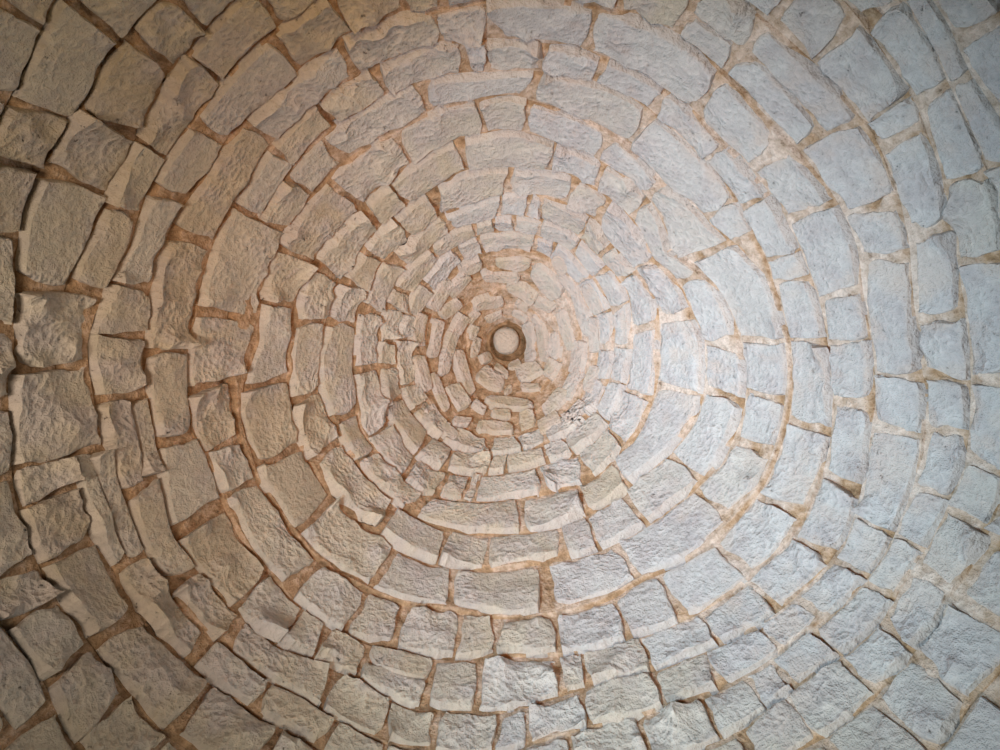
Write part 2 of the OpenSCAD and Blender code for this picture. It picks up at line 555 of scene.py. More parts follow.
def material_of(name):
    """Every finish is made once, from the settings, and then shared."""
    if not MATERIALS:
        vault = bpy.context.scene.trullo_vault
        roof = bpy.context.scene.trullo_roof
        groups = {
            "hewn": hewn_group("Hewn face", "2D"),
            "split": hewn_group("Split slab", "3D"),
            "patches": patches_group(),
        }
        MATERIALS["stone"] = limestone_material(groups, vault)
        MATERIALS["mortar"] = mortar_material(groups, vault)
        MATERIALS["slab"] = slab_material(groups, roof)
        MATERIALS["limewash"] = limewash_material(groups, roof)
        MATERIALS["rubble"] = rubble_material(groups, vault)
    return MATERIALS[name]


# Vault


# Height from which a stone's wear, gaps and relief have their full size; lower stones have less
FULL_HEIGHT = 0.13
# Height above which a pair of thin stones fits in a course
PAIR_HEIGHT = 0.09
# Height below which a stone takes the grid for thin ones, and that below which it is left out
THIN_HEIGHT = 0.08
LEAST_HEIGHT = 0.03
# Length above which a stone takes the grid for long ones
LONG_STONE = 0.22
# Where the beds show in the photograph, read one by one: radii from the crown in its pixels, every
# 15 degrees from the right, counterclockwise. A bed's number is that of the course below it.
BED_RINGS = {
    13: (503, 503, 510, 515, 505, 498, 490, 486, 484, 483, 485, 497,
         482, 505, 513, 515, 505, 490, 480, 485, 495, 503, 503, 513),
    14: (457, 451, 467, 477, 462, 450, 445, 440, 434, 428, 416, 422,
         445, 449, 449, 448, 432, 450, 448, 440, 445, 448, 460, 472),
    15: (406, 407, 414, 412, 405, 395, 390, 388, 384, 384, 382, 386,
         408, 410, 416, 409, 405, 417, 401, 391, 396, 411, 425, 430),
    16: (357, 357, 346, 337, 343, 342, 341, 337, 338, 338, 338, 352,
         357, 361, 380, 377, 364, 374, 361, 350, 357, 377, 390, 368),
    17: (318, 300, 293, 292, 295, 297, 298, 302, 302, 302, 303, 305,
         308, 322, 323, 325, 330, 319, 308, 315, 322, 335, 337, 332),
    18: (278, 268, 266, 262, 273, 267, 267, 273, 272, 273, 272, 275,
         278, 274, 280, 283, 279, 271, 272, 269, 270, 281, 288, 283),
    19: (276, 266, 229, 218, 228, 232, 243, 243, 236, 239, 239, 245,
         248, 272, 278, 281, 277, 269, 270, 267, 268, 279, 286, 281),
    20: (227, 210, 182, 197, 199, 202, 207, 202, 197, 192, 200, 207,
         212, 221, 225, 226, 226, 225, 220, 220, 222, 223, 238, 242),
    21: (193, 180, 163, 172, 173, 173, 170, 173, 164, 165, 166, 175,
         181, 187, 188, 188, 192, 190, 187, 186, 183, 183, 190, 196),
    22: (146, 150, 141, 137, 148, 148, 145, 137, 139, 138, 145, 148,
         147, 153, 167, 168, 168, 160, 151, 152, 154, 154, 152, 147),
    23: (121, 123, 122, 121, 124, 125, 123, 121, 120, 120, 123, 124,
         125, 129, 139, 140, 138, 133, 123, 122, 125, 124, 121, 120),
    24: (104, 105, 103, 103, 107, 108, 108, 107, 106, 104, 104, 104,
         108, 110, 115, 115, 113, 111, 107, 106, 105, 105, 104, 104),
    25: (88, 88, 88, 89, 92, 92, 90, 90, 88, 87, 87, 88,
         92, 92, 93, 96, 95, 93, 90, 88, 87, 87, 87, 88),
    26: (69, 71, 74, 74, 72, 72, 76, 79, 82, 77, 70, 69),
}
# Bearings of the joints between the stones of each course, read in the same way
JOINTS = {
    13: (
        9, 20, 30, 41, 51, 63, 74, 86, 98, 110, 121, 132, 142, 153.5, 160, 168, 178, 187, 195, 204.7,
        209.5, 216.3, 222.8, 229.2, 238, 248, 257, 267, 277, 287, 298, 309, 315.8, 322.2, 330.4, 338.2,
        349.5, 356,
    ),
    14: (
        10, 20, 30.5, 41.5, 53, 65, 78, 90, 102, 114, 126, 134, 140.4, 151.1, 159.5, 173.2, 183.2,
        194.3, 198.4, 205.4, 216, 229, 239.6, 247.7, 257, 266, 276, 285, 293, 300.7, 308, 316.4, 322.8,
        331, 339, 345.7, 355.4,
    ),
    15: (
        3.7, 15.5, 28, 31.5, 42.5, 51, 62, 72, 83, 95, 106, 116, 125.5, 138, 151.5, 161, 172.8, 194.3,
        210.2, 225.2, 235.2, 245.5, 253, 262, 270, 279, 289.2, 298.3, 305.3, 309.7, 316.8, 326.5, 333.6,
        340.5, 348.8, 355.3,
    ),
    16: (
        13, 20.5, 33, 51.5, 61.5, 71.5, 81, 90, 101, 107, 117, 127.5, 145, 156, 171.5, 178.7, 188.3,
        201, 216, 226, 243, 252, 259.7, 268.5, 273, 282, 293.7, 302.5, 311.7, 319, 326.7, 333.5, 347.5,
        355,
    ),
    17: (
        0.5, 8.5, 23, 35.5, 51, 75, 94, 102.5, 119.5, 140, 161.5, 181.5, 196, 210, 224, 232.5, 238,
        245.5, 257, 265, 279, 283.5, 294, 305, 315, 326, 337, 350.5,
    ),
    18: (
        0.5, 12.5, 17.5, 30, 42.5, 58, 71, 83, 94.5, 98, 116, 128.5, 140.5, 153.5, 175, 188.5, 200.3,
        208.5, 229, 241, 248.5, 260.5, 267.5, 279.5, 292.5, 302.7, 316.5, 329, 344.5,
    ),
    19: (
        24.5, 32, 59, 84, 108.5, 132.2, 143, 153.5, 188.5,
    ),
    20: (
        0.5, 24.5, 46, 64, 85.5, 96.3, 118.3, 137.3, 157.8, 170, 189.5, 206.7, 222, 241, 256.5, 278,
        298.7, 321.7, 337, 348.5,
    ),
    21: (
        19.5, 46, 61.5, 76.7, 103.3, 126.7, 136.7, 159.5, 173.2, 194.7, 210.5, 235.5, 252.2, 264.5,
        285.5, 294, 307.7, 325, 347, 359.5,
    ),
    22: (
        8, 30, 55, 67.5, 89.7, 118.2, 132.7, 147, 159.7, 173.2, 203.3, 219, 240.5, 275, 296, 311, 344.8,
    ),
    23: (
        6.5, 29, 43, 56.5, 76.5, 82, 93, 117, 144.5, 166.7, 190.5, 214.3, 231.2, 245.4, 254.3, 257.9,
        283.7, 301.7, 319.5, 338,
    ),
    24: (
        18, 37.5, 54.5, 74.5, 87, 96.4, 106, 130, 153.5, 163.3, 179.5, 190.3, 206.8, 230.7, 242.8,
        261.7, 269.5, 288.5, 300.7, 322, 340, 358,
    ),
    25: (
        18.5, 39.5, 64, 74.5, 105.5, 118, 145, 163.5, 178, 202.7, 215.5, 235.5, 260.5, 276, 292, 315,
        338, 358,
    ),
}
# The small stones round the crown, which lie in no clear ring: middle of each, right of the
# crown and above it in the photograph, with its length, width and tilt, in pixels and degrees
CROWN_STONES = (
    (19.5, 0, 39, 11, 93), (33, 1, 40, 10, 101), (21, -27, 27, 14, 25), (6, -21, 15, 7, 25),
    (-6, -26, 16, 5, -38), (-16, -35, 29, 19, -25), (-21, -14, 10, 10, 20), (-31, -4, 21, 7, 78),
    (1, -58, 49, 10, -8), (-7, -69, 20, 7, -5), (-12, -82, 38, 12, -3), (19, -76, 17, 19, 5),
    (-45, -77, 19, 8, -5), (-49, -52, 29, 14, -59), (-58, -10, 50, 11, 76), (-43, -28, 48, 11, 106),
    (-70, 4, 40, 9, 82), (-7, 64, 40, 11, -2), (13, 48, 33, 10, -28), (33, 37, 27, 9, -25),
    (38, 60, 42, 20, -48), (-19, 38, 31, 9, 8), (14, 36, 15, 6, -30), (57, 12, 43, 11, -74),
    (72, 33, 58, 11, -72), (84, 44, 34, 14, -62), (42, -25, 20, 13, 62), (46, -58, 34, 13, 47),
    (-72, -73, 27, 12, -50), (-67, -48, 42, 8, -70), (-28, -62, 16, 6, -35), (22, -43, 20, 7, 0),
    (0, -45, 11, 4, 55), (-48, 58, 33, 14, 45), (-66, 47, 36, 13, 58), (-56, 33, 25, 11, 38),
    (-46, 18, 22, 10, 60), (52, 77, 22, 12, -60), (-13, 25, 18, 6, 25), (12, 26, 18, 6, -30),
    (63, -40, 36, 13, 62), (69, -14, 34, 13, 82), (46, -3, 30, 9, 92), (5, 78, 38, 12, -6),
    (-36, 74, 26, 12, 25), (-84, -30, 38, 12, 104), (-87, 14, 36, 12, 84), (-60, -86, 26, 10, -40),
    (40, -78, 26, 14, 25), (66, -68, 28, 13, 45), (83, -36, 30, 13, 66), (28, 20, 16, 6, -52),
    (-33, 10, 15, 6, 70), (60, 58, 26, 10, -48), (86, 8, 38, 12, -86), (-34, 26, 16, 7, 45),
)
# Stones that rise through two courses, and those that are laid as a pair of thin ones,
# each as its course and the bearing of its first joint
TALL = {(14, 173.2), (14, 183.2), (18, 153.5), (18, 175)}
PAIRS = {(16, 33), (16, 51.5), (16, 188.3), (17, 245.5), (14, 239.6), (20, 143), (15, 194.3)}


class Vault:
    """The vault's surface from the CAD courses, with beds and joints where the photograph shows them."""

    # Waves of the plan, as bearing multiple, cosine and sine part in metres:
    # the room below is nearly square, so the rings bulge towards its corners
    PLAN = ((2, 0.028, 0.014), (4, -0.014, 0.014))
    # Height over which the plan turns round towards the crown
    ROUNDING = 1.5
    # Least rise from one bed to the next, where a course runs out
    PINCH = 0.004
    # First course whose stones are the small ones round the crown
    SCATTERED = 25
    # Height from which the photograph shows the vault, and that from which it is far from the lens
    SEEN_FROM = 1.4
    FAR_FROM = 3.3
    # Halvings that find where a line of sight meets the vault
    HALVINGS = 30
    # Middle and reach of the patch that is eaten by holes: right of the crown and above it
    # in the photograph's pixels, and in metres
    ERODED = (68.0, -72.0)
    ERODED_REACH = 0.085

    def __init__(self, settings):
        self.names = sorted(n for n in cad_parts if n.startswith("course_"))
        self.count = len(self.names)
        self.beds = []
        self.feet = []
        self.backs = []
        for name in self.names:
            radii, heights = rings_of(name)
            low, high = heights.min(), heights.max()
            self.beds.append(low)
            self.feet.append(radii[heights < (low + high) / 2].min())
            self.backs.append(radii.max())
            self.crown = high
            head = radii[heights > high - 0.001].min()
        self.pixels = PHOTO_WIDTH * bpy.context.scene.trullo_stage.lens / SENSOR
        keystone_radii, keystone_heights = rings_of("keystone")
        self.beds.append(self.crown)
        self.feet.append(keystone_radii[keystone_heights < self.crown + 0.001].min())
        self.ledge = (head - self.feet[-1]) / (self.feet[-2] - self.feet[-1])
        self.levels = [lambda a: self.beds[0] + 0.0 * a]
        for k in range(1, self.count):
            wander = min(self.height(k), self.height(k - 1)) * settings.bed_wander
            self.levels.append(self.level_of(k, waves(settings.seed * 100 + k, (5, 7, 9, 12, 16), wander)))
        self.levels.append(lambda a: self.crown + 0.0 * a)
        right, above = np.array(self.ERODED)[:, None]
        bearing, radius, z = (float(part[0]) for part in self.face_seen_at(right, above)[:3])
        self.eroded = np.array([radius * math.cos(bearing), radius * math.sin(bearing), z])

    def height(self, k):
        return self.beds[k + 1] - self.beds[k]

    def level_of(self, k, stray):
        """Level of a bed by bearing: the one that the photograph shows, or else the bed's own."""
        if k not in BED_RINGS:
            return lambda a: self.beds[k] + stray(a)
        radii = np.array(BED_RINGS[k], float)
        bearings, heights = self.seen_at(np.arange(len(radii)) * 360.0 / len(radii), radii)
        order = np.argsort(bearings % TURN)
        around, height = (bearings % TURN)[order], heights[order]
        return lambda a: np.interp(a % TURN, around, height, period=TURN) + 0.35 * stray(a)

    def seen_at(self, degrees, radius):
        """Bearing and height of the vault's face where the photograph shows it, in degrees and pixels."""
        stage = bpy.context.scene.trullo_stage
        pixels = self.pixels
        slope_x = radius * np.cos(np.radians(degrees)) / pixels
        axis_y = stage.camera_side / (self.crown - stage.camera_height)
        slope_y = axis_y + radius * np.sin(np.radians(degrees)) / pixels
        low = np.full(np.shape(radius), 0.2)
        high = np.full(np.shape(radius), self.crown - stage.camera_height)
        for _ in range(self.HALVINGS):
            rise = (low + high) / 2
            x, y = rise * slope_x, stage.camera_side - rise * slope_y
            bearing = np.arctan2(y, x)
            z = stage.camera_height + rise
            inside = np.hypot(x, y) < self.surface(z) + self.plan(bearing, z)
            low, high = np.where(inside, rise, low), np.where(inside, high, rise)
        return bearing, z

    def surface(self, z):
        """Radius of the vault at a height, without its waves."""
        return np.interp(z, self.beds, self.feet)

    def face_seen_at(self, x, y):
        """Bearing, radius, height, run and rise of the face at a spot right of and above the crown."""
        bearing, z = self.seen_at(np.degrees(np.arctan2(y, x)), np.hypot(x, y))
        step = np.full(np.shape(z), 0.05)
        run = self.surface(z - step / 2) - self.surface(z + step / 2)
        return bearing, self.surface(z) + self.plan(bearing, z), z, run, step

    def bed(self, k, a):
        level = self.levels[k](a)
        return level if k == 0 else np.maximum(level, self.levels[k - 1](a) + self.PINCH)

    def plan(self, a, z):
        t = np.clip((self.crown - z) / self.ROUNDING, 0, 1)
        swell = sum(c * np.cos(n * a) + s * np.sin(n * a) for n, c, s in self.PLAN)
        return swell * t * t * (3 - 2 * t)

    def face(self, k, a, t, courses=1):
        """Radius, height, run and rise of the face at the share t of a course, or of two courses."""
        low, high = self.bed(k, a), self.bed(k + courses, a)
        foot, head = self.surface(low), self.surface(high)
        run = (foot - head) * (1 - self.ledge)
        height = low + t * (high - low)
        return foot - t * run + self.plan(a, height), height, run, high - low

    def ledge_at(self, k, a):
        """Depth of the bare step under the foot of a course."""
        return self.ledge * (self.surface(self.bed(k - 1, a)) - self.surface(self.bed(k, a)))


def fine_spacing(u):
    """Draws grid lines towards the edges, where a stone's arris is worn round."""
    return u * (1.5 - 0.5 * u * u)


def worn_edge(gap, width):
    """Fall of a face rounded off over a width, at a gap from its edge."""
    share = np.clip(1 - gap / width, 0, 1)
    return width * (1 - np.sqrt(1 - share * share))


def flake_scars(rng, along, up, length, height, pace):
    """Relief left by flaking: shallow bowls side by side, which meet in sharp ridges."""
    count = min(max(3, round(length * height / pace ** 2)), 40)
    scars = []
    for _ in range(count):
        x, y = rng.uniform(-0.55, 0.55) * length, rng.uniform(-0.6, 0.6) * height
        dx, dy = along - x, up - y
        stretch = rng.uniform(0.5, 1.0)
        turn = rng.uniform(0, math.pi)
        ex = dx * math.cos(turn) + dy * math.sin(turn)
        ey = (dy * math.cos(turn) - dx * math.sin(turn)) * stretch
        tilt = rng.gauss(0, 0.17) * dx + rng.gauss(0, 0.17) * dy
        scars.append((ex * ex + ey * ey) * 0.42 / pace + tilt + rng.uniform(0, 0.10) * pace)
    return np.minimum.reduce(scars)


def fullness(bearing, spots, seed):
    """How full the joints are: nearly flush on the right flank, deeper on the left, turning with height."""
    high = np.clip((spots[:, 2] - 3.2) / 0.5, 0, 1)
    turn = 0.15 + 0.6 * high
    return np.clip(0.5 + 0.42 * np.cos(bearing + turn) + 0.35 * lattice_noise(spots, 0.45, seed), 0, 1)


def mortar_behind(settings, full, spots, crown):
    """How far the mortar lies behind the faces."""
    swell = 0.003 * lattice_noise(spots, 0.14, settings.seed + 8)
    swell = swell + 0.002 * lattice_noise(spots, 0.045, settings.seed + 9)
    return settings.mortar_depth * (3.0 - 2.4 * full + crown * (1.2 - full)) - swell


def course_layout(vault, settings, stone, rng, u, v, corners):
    """Bearing, radius, height, run and rise over the face of a stone laid in a course."""
    k, span, rise, courses = stone["course"], stone["span"], stone["rise"], stone["courses"]
    middle = np.array([(span[0] + span[1]) / 2])
    radius, _, whole_run, whole = (float(part[0]) for part in vault.face(k, middle, 0.5, courses))
    slope = math.hypot(whole_run, whole)
    small = min(1.0, slope * (rise[1] - rise[0]) / FULL_HEIGHT)
    side = settings.side_gap * rng.uniform(0.4, 1.5) * (0.4 + 0.6 * small) / radius
    head = settings.bed_gap * small * rng.choice((0.3, 0.7, 1.0, 1.4)) / slope
    low, high = rise[0] + 0.002 / slope, rise[1] - head
    t = (low + high) / 2 + v * (high - low) / 2
    slants = stone["slants"]
    first = span[0] + slants[0] * (t - 0.5) + side
    last = span[1] + slants[1] * (t - 0.5) - side
    bearing = (first + last) / 2 - u * (last - first) / 2
    stray = lattice_noise(corners + rng.uniform(0, 90), 0.6, stone["seed"] + 4)
    ragged = lattice_noise(corners + rng.uniform(0, 90), 0.2, stone["seed"] + 6)
    bearing = bearing + small * (0.012 * stray + 0.004 * ragged) / radius
    stray = lattice_noise(corners + rng.uniform(0, 90), 0.5, stone["seed"] + 5)
    t = t + (0.05 * stray + 0.02 * ragged) * (1 - 0.5 * (v < 0))
    return (bearing, *vault.face(k, bearing, np.clip(t, 0.005, 0.995), courses))


def crown_layout(vault, stone, rng, u, v, corners):
    """Bearing, radius, height, run and rise over the face of a small stone at the crown."""
    right, above, long, wide, tilt = stone["seen"]
    turn = math.radians(tilt)
    stray = lattice_noise(corners + rng.uniform(0, 90), 0.8, stone["seed"] + 4)
    along, across = u * long / 2, (v * wide / 2) * (1 + 0.16 * stray) + 0.5 * stray
    bow = rng.uniform(-0.04, 0.04) * long * u * u
    x = right + along * math.cos(turn) - (across + bow) * math.sin(turn)
    y = above + along * math.sin(turn) + (across + bow) * math.cos(turn)
    return vault.face_seen_at(x, y)


def shaped_stone(vault, settings, master, stone):
    """One vault stone with its hewn face, round corners and worn edges."""
    rng = random.Random(stone["seed"])
    seed = stone["seed"]
    length, height = stone["size"]
    corners, faces = master
    u, v, depth = fine_spacing(corners[:, 0]), fine_spacing(corners[:, 1]), -corners[:, 2]
    small = min(1.0, height / FULL_HEIGHT)
    crown = float("seen" in stone)
    # Outline: round corners, each corner pulled about, edges that stray
    rounding = rng.uniform(0.04, 0.16) + 0.28 * crown * rng.random()
    x = u * np.sqrt(1 - rounding * v * v)
    y = v * np.sqrt(1 - rounding * u * u)
    for cx, cy in itertools.product((-1, 1), repeat=2):
        near = (1 + cx * u) * (1 + cy * v) / 4
        pull = 0.26 if rng.random() < 0.25 else 0.07
        x = x - cx * near * rng.uniform(0, pull)
        y = y - cy * near * rng.uniform(0, pull)
    if crown:
        bearing, face_r, face_z, run, rise_m = crown_layout(vault, stone, rng, x, y, corners)
    else:
        bearing, face_r, face_z, run, rise_m = course_layout(vault, settings, stone, rng, x, y, corners)
    spots = np.stack([face_r * np.cos(bearing), face_r * np.sin(bearing), face_z], axis=1)
    face_spots = spots
    full = fullness(bearing, spots, settings.seed)
    mortar = mortar_behind(settings, full, spots, crown)
    blot = lattice_noise(spots, 0.05, settings.seed + 1)
    wide = lattice_noise(spots, 0.35, settings.seed + 2)
    spots = spots + rng.uniform(0, 50)
    lumps = lattice_noise(spots, 0.10, seed)
    knobs = lattice_noise(spots, 0.034, seed + 1)
    # Relief: tilted planes of the split face, flake scars, lumps, worn edges and chips
    along, up = u * length / 2, v * height / 2
    planes = [
        rng.gauss(0, 0.035) * along + rng.gauss(0, 0.05) * up + rng.uniform(0, 0.008) for _ in range(3)
    ]
    rugged = rng.choice((0.35, 0.7, 1.0, 1.3)) * (1.15 - 0.55 * full) * (1 - 0.4 * crown)
    broken = np.clip(0.30 + 0.35 * rugged + 0.8 * lumps, 0, 1)
    scars = flake_scars(rng, along, up, length, height, rng.uniform(0.04, 0.075))
    relief = np.minimum(np.minimum(planes[0], planes[1]), planes[2]) + (0.35 + 0.65 * broken) * rugged * scars
    relief = relief + settings.relief * small * (0.5 * lumps + 0.5 * broken * knobs)
    gap_side = (1 - np.abs(u)) * length / 2
    gap_foot, gap_head = (1 + v) * height / 2, (1 - v) * height / 2
    stray = 1 + 0.45 * lumps + 0.4 * knobs
    worn = rng.uniform(0.004, 0.008) * small * stray
    worn_foot = rng.choice((0.003, 0.004, 0.005, 0.008)) * small * stray
    fall = np.maximum(worn_edge(np.minimum(gap_side, gap_head), worn), worn_edge(gap_foot, worn_foot))
    inset = np.minimum(gap_side, np.minimum(gap_foot, gap_head))
    chips = np.clip(lattice_noise(spots, 0.06, seed + 3) - 0.3, 0, 1) * np.exp(-inset / 0.022)
    proud = rng.uniform(0.001, 0.007) * small
    relief = relief - relief.mean()
    spare = 0.35 * np.maximum(mortar + proud, 0.003)
    relief = np.where(relief < -spare, -spare * (2 - np.exp(np.minimum(relief / spare + 1, 0))), relief)
    relief = relief * small + proud - fall - 0.02 * small * chips
    lean = np.maximum(np.hypot(run, rise_m), 0.001)
    out = face_r - relief * rise_m / lean + depth
    raised = face_z - relief * run / lean
    # Mortar smeared over the edges, in a wider and softer band where the joints are full
    band = (0.010 + 0.016 * full) * (1 + 0.6 * blot) * (0.5 + 0.5 * small)
    edge = np.minimum(np.minimum(gap_side, gap_head), 2.0 * gap_foot)
    rim = np.clip(1 - edge / band, 0, 1) * np.clip(0.55 + 1.1 * lattice_noise(spots, 0.045, seed + 7), 0, 1)
    above = np.clip(1 - (relief + mortar) / (0.003 + 0.004 * full), 0, 1)
    smear = np.maximum(above, rim * (0.25 + 0.5 * full))
    smear = smear + np.clip(1.6 * blot + 1.3 * wide - 1.3, 0, 0.5)
    if crown:
        smear = smear + np.clip(0.5 + 0.8 * blot + 0.5 * knobs, 0, 1)
    eaten = np.exp(-np.sum((face_spots - vault.eroded) ** 2, axis=1) / vault.ERODED_REACH ** 2)
    # Tone: the random share is the stone's own; the share that grows on the left flank, where the joints are
    # less full, is painted warm dim shade
    tone = 0.36 * rng.random() * (1.4 - full.mean()) + 0.62 * (1 - full.mean()) + 0.30 * crown - 0.03
    turn = rng.uniform(-0.6, 0.6)
    grain_x = along * math.cos(turn) + up * math.sin(turn)
    grain_y = up * math.cos(turn) - along * math.sin(turn)
    offset = rng.uniform(0, 40)
    return {
        "corners": np.stack([out * np.cos(bearing), out * np.sin(bearing), raised], axis=1),
        "faces": faces,
        "smear": np.where(depth > 0.015, 0.5, np.clip(smear, 0, 1)),
        "rough": np.clip(broken * (1.1 - 0.5 * full), 0, 1) + 2.5 * eaten,
        "stain": np.clip(0.30 + 0.6 * lumps + 0.7 * blot + 0.5 * wide, 0, 1),
        "tone": np.full(len(corners), min(max(tone, 0), 1)),
        "grain": np.stack([grain_x + offset, grain_y * 1.25 + offset, depth * 2], axis=1),
    }


def free_arcs(taken, start):
    """The arcs of a ring, from a start bearing round, that no stone from below stands in."""
    if not taken:
        return [(start, start + TURN)]
    taken = sorted(taken)
    arcs = []
    for i, (_, end) in enumerate(taken):
        follow = taken[i + 1][0] if i + 1 < len(taken) else taken[0][0] + TURN
        if follow - end > 0.001:
            arcs.append((end, follow))
    return arcs


def unseen_stones(vault, settings, k, taken):
    """Stones of a course that the photograph doesn't show, with lengths drawn like those that it does."""
    rng = random.Random(settings.seed * 1000 + k)
    radius = vault.feet[k]
    stones = []
    tall = []
    for begin, end in free_arcs(taken, rng.uniform(0, TURN)):
        count = max(1, round((end - begin) * radius / settings.stone_length))
        steps = [math.exp(rng.gauss(0, 0.36)) for _ in range(count)]
        joints = [begin]
        for step in steps:
            joints.append(joints[-1] + step * (end - begin) / sum(steps))
        for i in range(count):
            chance = rng.random()
            stones.append({"span": (joints[i], joints[i + 1]), "tall": chance > 0.94 and 4 < k < 11,
                           "pair": chance < 0.10})
            if stones[-1]["tall"]:
                tall.append(stones[-1]["span"])
    return stones, tall


def seen_stones(vault, k, taken):
    """Stones of a course between the joints that the photograph shows."""
    degrees = np.array(JOINTS[k + 1], float)
    rings = [np.array(BED_RINGS.get(bed, BED_RINGS[13]), float) for bed in (k, k + 1) if bed in BED_RINGS]
    radii = [np.interp(degrees, np.arange(len(r)) * 360.0 / len(r), r, period=360) for r in rings]
    bearings, _ = vault.seen_at(degrees, sum(radii) / len(radii))
    stones = []
    tall = []
    for i, degree in enumerate(JOINTS[k + 1]):
        first, last = bearings[(i + 1) % len(bearings)], bearings[i]
        span = (first % TURN, first % TURN + (last - first) % TURN)
        middle = (span[0] + span[1]) / 2
        if any((middle - begin) % TURN < end - begin for begin, end in taken):
            continue
        is_tall = (k + 1, degree) in TALL
        stones.append({"span": span, "tall": is_tall, "pair": (k + 1, degree) in PAIRS})
        if is_tall:
            tall.append(span)
    return stones, tall


def crown_stones(vault, k):
    """The small stones round the crown whose middles stand in one course."""
    found = []
    for seen in CROWN_STONES:
        right, above, long, wide, _ = seen
        spot = vault.face_seen_at(np.array([right]), np.array([above]))
        _, _, height, run, step = (float(part[0]) for part in spot)
        last = k == vault.count - 1
        if vault.beds[k] <= height < vault.beds[k + 1] or (last and height >= vault.beds[-1]):
            metre = height / vault.pixels
            found.append({"seen": seen, "size": (long * metre, wide * metre * math.hypot(run, step) / step)})
    return found


def lay_course(vault, settings, masters, k, taken):
    """The stones of one course: whole ones, pairs of thin ones, and tall ones that reach into the next."""
    base = settings.seed * 100000 + k * 1000
    blocks = [
        shaped_stone(vault, settings, masters["short"], {**stone, "seed": base + 900 + n})
        for n, stone in enumerate(crown_stones(vault, k))
    ]
    if k >= vault.SCATTERED:
        return blocks, []
    if k + 1 in JOINTS:
        stones, tall = seen_stones(vault, k, taken)
    else:
        stones, tall = unseen_stones(vault, settings, k, taken)
    rng = random.Random(settings.seed * 500 + k)
    for n, stone in enumerate(stones):
        middle = np.array([sum(stone["span"]) / 2])
        courses = 2 if stone["tall"] else 1
        radius, _, run, height = (float(part[0]) for part in vault.face(k, middle, 0.5, courses))
        slope = math.hypot(run, height)
        if height < LEAST_HEIGHT:
            continue
        length = (stone["span"][1] - stone["span"][0]) * radius
        slants = (0, 0) if stone["tall"] else (rng.gauss(0, 0.016 / radius), rng.gauss(0, 0.016 / radius))
        split = rng.uniform(0.36, 0.64)
        parts = ((0.0, split), (split, 1.0)) if stone["pair"] and height > PAIR_HEIGHT else ((0.0, 1.0),)
        if len(parts) > 1 or height < THIN_HEIGHT:
            size = "thin"
        elif length > LONG_STONE or courses > 1:
            size = "long"
        else:
            size = "short"
        for p, rise in enumerate(parts):
            block = {
                "course": k,
                "courses": courses,
                "span": stone["span"],
                "slants": slants,
                "rise": rise,
                "size": (length, slope * (rise[1] - rise[0])),
                "seed": base + n * 10 + p,
            }
            blocks.append(shaped_stone(vault, settings, masters[size], block))
    return blocks, tall


def mortar_ring(vault, settings, k, fine):
    """Mortar and hearting of one course: a closed ring whose inner side lies close behind the faces."""
    pace = 0.024 if fine else 0.06
    columns = max(72, round(TURN * vault.feet[k] / pace))
    face_rows = 9 if fine else 4
    rows = face_rows + 2
    pick_none()
    bpy.ops.mesh.primitive_grid_add(x_subdivisions=columns, y_subdivisions=rows, size=2)
    piece = bpy.context.object
    piece.name = piece.data.name = "mortar_%02d" % (k + 1)
    flat = np.array([v.co for v in piece.data.vertices])
    bearing = (flat[:, 0] + 1) / 2 * TURN
    row = np.rint((flat[:, 1] + 1) / 2 * rows).astype(int) % rows
    thin = min(1.0, vault.height(k) / FULL_HEIGHT)
    lift = settings.bed_gap * 0.9 * thin
    low = vault.bed(k, bearing) + (lift if k > 0 else 0)
    high = np.maximum(vault.bed(k + 1, bearing) + (lift if k < vault.count - 1 else 0), low + 0.002)
    on_face = row < face_rows
    t = np.clip(row / (face_rows - 1), 0, 1)
    face_r, _, _, _ = vault.face(k, bearing, t)
    height = np.where(on_face, low + t * (high - low), np.where(row == face_rows, high, low))
    spots = np.stack([face_r * np.cos(bearing), face_r * np.sin(bearing), height], axis=1)
    full = fullness(bearing, spots, settings.seed)
    holes = 0.06 * np.clip(lattice_noise(spots, 0.09, settings.seed * 10 + k) - 0.38, 0, 1)
    # At its foot the mortar lies under the oversail, flush with the heads below
    ledge = vault.ledge_at(k, bearing) if k > 0 else 0
    fill = np.clip(0.5 + 1.4 * lattice_noise(spots, 0.22, settings.seed + 3), 0, 1)
    under = np.clip(1 - t / 0.20, 0, 1) * (ledge + 0.010 * thin) * fill
    crown = min(max((k - vault.SCATTERED + 3) / 3, 0), 1)
    sunk = mortar_behind(settings, full, spots, crown) + holes
    inner = face_r + under + thin * sunk
    radius = np.where(on_face, inner, vault.backs[k])
    placed = np.stack([radius * np.cos(bearing), radius * np.sin(bearing), height], axis=1)
    piece.data.vertices.foreach_set("co", placed.astype(np.float32).reshape(-1))
    piece.data.materials.append(material_of("mortar"))
    # Painted shade: the mortar is painted darker the further it lies behind the faces and under the oversail
    deep = piece.data.attributes.new("deep", "FLOAT", "POINT")
    depth = np.clip(sunk / (0.014 + 0.006 * crown), 0, 1) + np.clip(under / 0.02, 0, 0.5)
    deep.data.foreach_set("value", depth.astype(np.float32))
    pick(piece)
    bpy.ops.object.mode_set(mode="EDIT")
    bpy.ops.mesh.select_all(action="SELECT")
    bpy.ops.mesh.remove_doubles(threshold=0.0001)
    bpy.ops.mesh.normals_make_consistent(inside=False)
    bpy.ops.object.mode_set(mode="OBJECT")
    bpy.ops.object.shade_smooth_by_angle(angle=0.9)
    return piece


